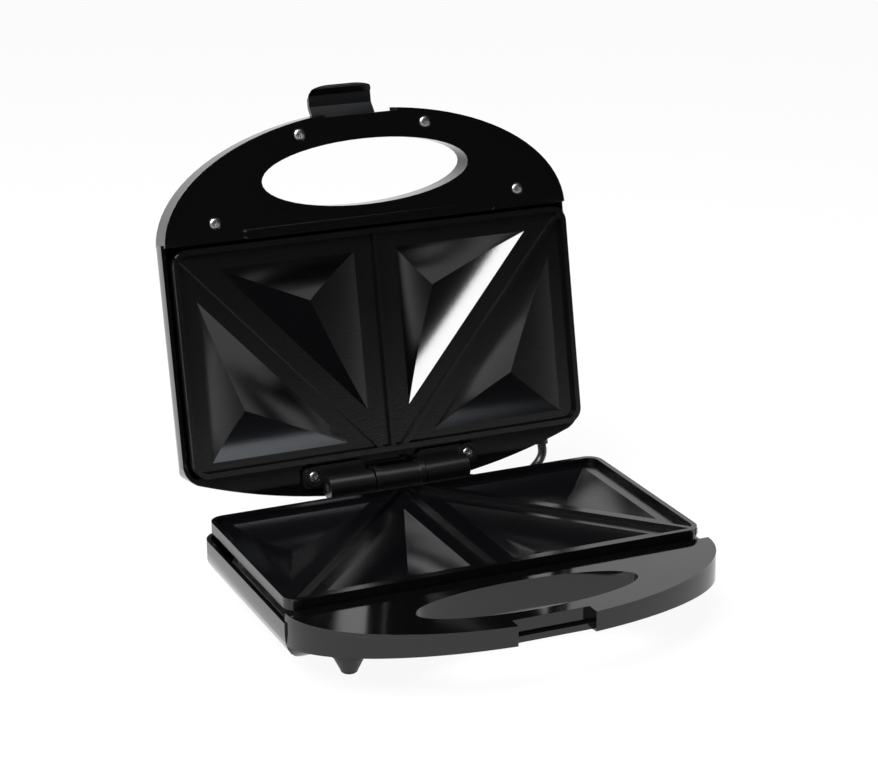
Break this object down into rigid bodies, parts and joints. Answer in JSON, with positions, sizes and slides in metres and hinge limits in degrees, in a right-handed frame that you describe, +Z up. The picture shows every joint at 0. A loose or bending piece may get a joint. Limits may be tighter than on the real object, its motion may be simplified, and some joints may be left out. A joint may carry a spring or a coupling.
{
  "type": "sandwich toaster",
  "caption": "Open sandwich toaster: two hinged moulded halves with bow handles, cast plates with triangular pockets, a swinging front latch and a coiled mains lead.",
  "frame": {"origin": "middle of the footprint at table level, without the mains lead and plug", "axes": "+X to the right as seen from the handles, +Y to the rear where the lid stands, +Z up"},
  "size_m": [0.226, 0.2897, 0.2411],
  "materials": {
    "housing": "gloss",
    "coated_plate": "satin",
    "steel": "bright",
    "heater_steel": "satin",
    "sheet": "satin",
    "bracket": "satin",
    "rubber": "matte",
    "white_plastic": "matte",
    "cord_rubber": "matte",
    "tie_plastic": "matte",
    "plated_pins": "bright",
    "thermostat_body": "matte",
    "red_lens": "gloss",
    "green_lens": "gloss",
    "latch_plastic": "satin"
  },
  "bodies": {
    "base": {"base_shell": "housing", "base_handle_cover": "housing", "base_cover_screws": "steel", "base_plate": "coated_plate", "base_plate_screws": "steel", "base_heater": "heater_steel", "base_reflector": "sheet", "base_hinge_bracket": "bracket", "base_bracket_screws": "steel", "hinge_pin": "steel", "foot_front_left": "rubber", "foot_front_right": "rubber", "foot_rear_left": "rubber", "foot_rear_right": "rubber", "foot_screws": "steel", "terminal_block": "white_plastic", "mains_gland": "cord_rubber", "mains_lead": "cord_rubber", "mains_coil": "cord_rubber", "mains_tail": "cord_rubber", "cord_tie": "tie_plastic", "plug": "cord_rubber", "plug_pins": "plated_pins", "base_link_gland": "cord_rubber", "link_lead": "cord_rubber"},
    "lid": {"lid_link_gland": "cord_rubber", "lid_shell": "housing", "lid_handle_cover": "housing", "lid_cover_screws": "steel", "lid_plate": "coated_plate", "lid_plate_screws": "steel", "lid_heater": "heater_steel", "lid_reflector": "sheet", "lid_hinge_bracket": "bracket", "lid_bracket_screws": "steel", "thermostat": "thermostat_body", "power_lens": "red_lens", "ready_lens": "green_lens", "lamp_holder": "white_plastic", "latch_pin": "steel"},
    "latch": {"latch": "latch_plastic"}
  },
  "joints": [
    {"name": "lid_hinge", "type": "hinge", "parent": "base", "child": "lid", "pos_m": [0, 0.05928, 0.0445], "axis": [1, 0, 0], "range_deg": [0, 101], "deforming": ["link_lead"]},
    {"name": "latch_pivot", "type": "hinge", "parent": "lid", "child": "latch", "pos_m": [0, 0.10617, 0.22283], "axis": [1, 0, 0], "range_deg": [0, 131]}
  ]
}
